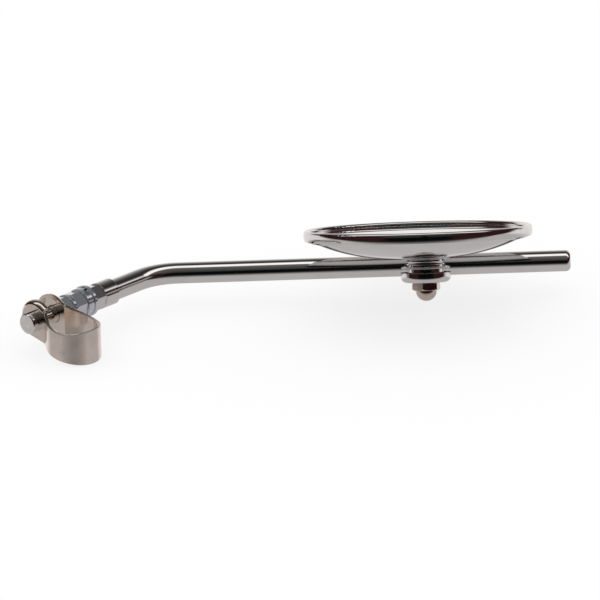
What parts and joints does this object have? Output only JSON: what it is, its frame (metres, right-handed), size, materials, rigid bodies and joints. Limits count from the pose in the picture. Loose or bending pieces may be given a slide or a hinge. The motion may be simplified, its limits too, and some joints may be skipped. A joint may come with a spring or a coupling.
{
  "type": "motorcycle mirror",
  "caption": "Round chrome clamp-on motorcycle mirror: folded handlebar clamp, bent rod, clip, stud stack and a mirror head with a silvered glass.",
  "frame": {"origin": "middle of the handlebar bore on the bar's axis", "axes": "+Z along the handlebar, upwards; +X along the rod towards its free end; +Y away from the rider's side where the mirror head's glass looks up and back"},
  "size_m": [0.2531, 0.1046, 0.0575],
  "materials": {
    "satin_nickel": "satin nickel plate",
    "nickel_bolt": "bright nickel plate",
    "zinc": "bright zinc plate",
    "chrome": "polished chrome plate",
    "plain_steel": "plain turned steel",
    "black_rubber": "matt",
    "grey_felt": "felt",
    "mirror_glass": "silvered glass"
  },
  "bodies": {
    "clamp": {"clamp_strap": "satin_nickel", "clamp_bolt": "nickel_bolt", "clamp_nut": "zinc", "nut_washer": "zinc", "jam_nut": "zinc", "jam_washer": "zinc", "lock_washer": "zinc", "flat_washer": "zinc"},
    "arm": {"arm_socket": "chrome", "arm_rod": "chrome"},
    "liner": {"clip_liner": "black_rubber"},
    "clip": {"rod_clip": "chrome"},
    "head": {"spool_spacer": "chrome", "cup_washer": "chrome", "stud_lock_washer": "plain_steel", "stud_bush": "plain_steel", "dome_nut": "chrome", "head_stud": "plain_steel", "stud_plate": "plain_steel", "mirror_shell": "chrome", "bezel_ring": "chrome", "backing_pad": "grey_felt", "glass_gasket": "black_rubber", "mirror_glass": "mirror_glass"}
  },
  "joints": [
    {"name": "arm_swivel", "type": "hinge", "parent": "clamp", "child": "arm", "pos_m": [0.00647, 0.03263, 0.0055], "axis": [0.7071, 0.7071, 0], "range_deg": [-180, 180]},
    {"name": "head_slide", "type": "slide", "parent": "arm", "child": "liner", "axis": [1, 0, 0], "range_m": [-0.035, 0.045]},
    {"name": "head_tilt", "type": "hinge", "parent": "liner", "child": "clip", "pos_m": [0.16185, 0.06382, 0.0055], "axis": [1, 0, 0], "continuous": true},
    {"name": "head_swivel", "type": "hinge", "parent": "clip", "child": "head", "pos_m": [0.16185, 0.03646, 0.01355], "axis": [0, 0.309, 0.9511], "continuous": true}
  ]
}
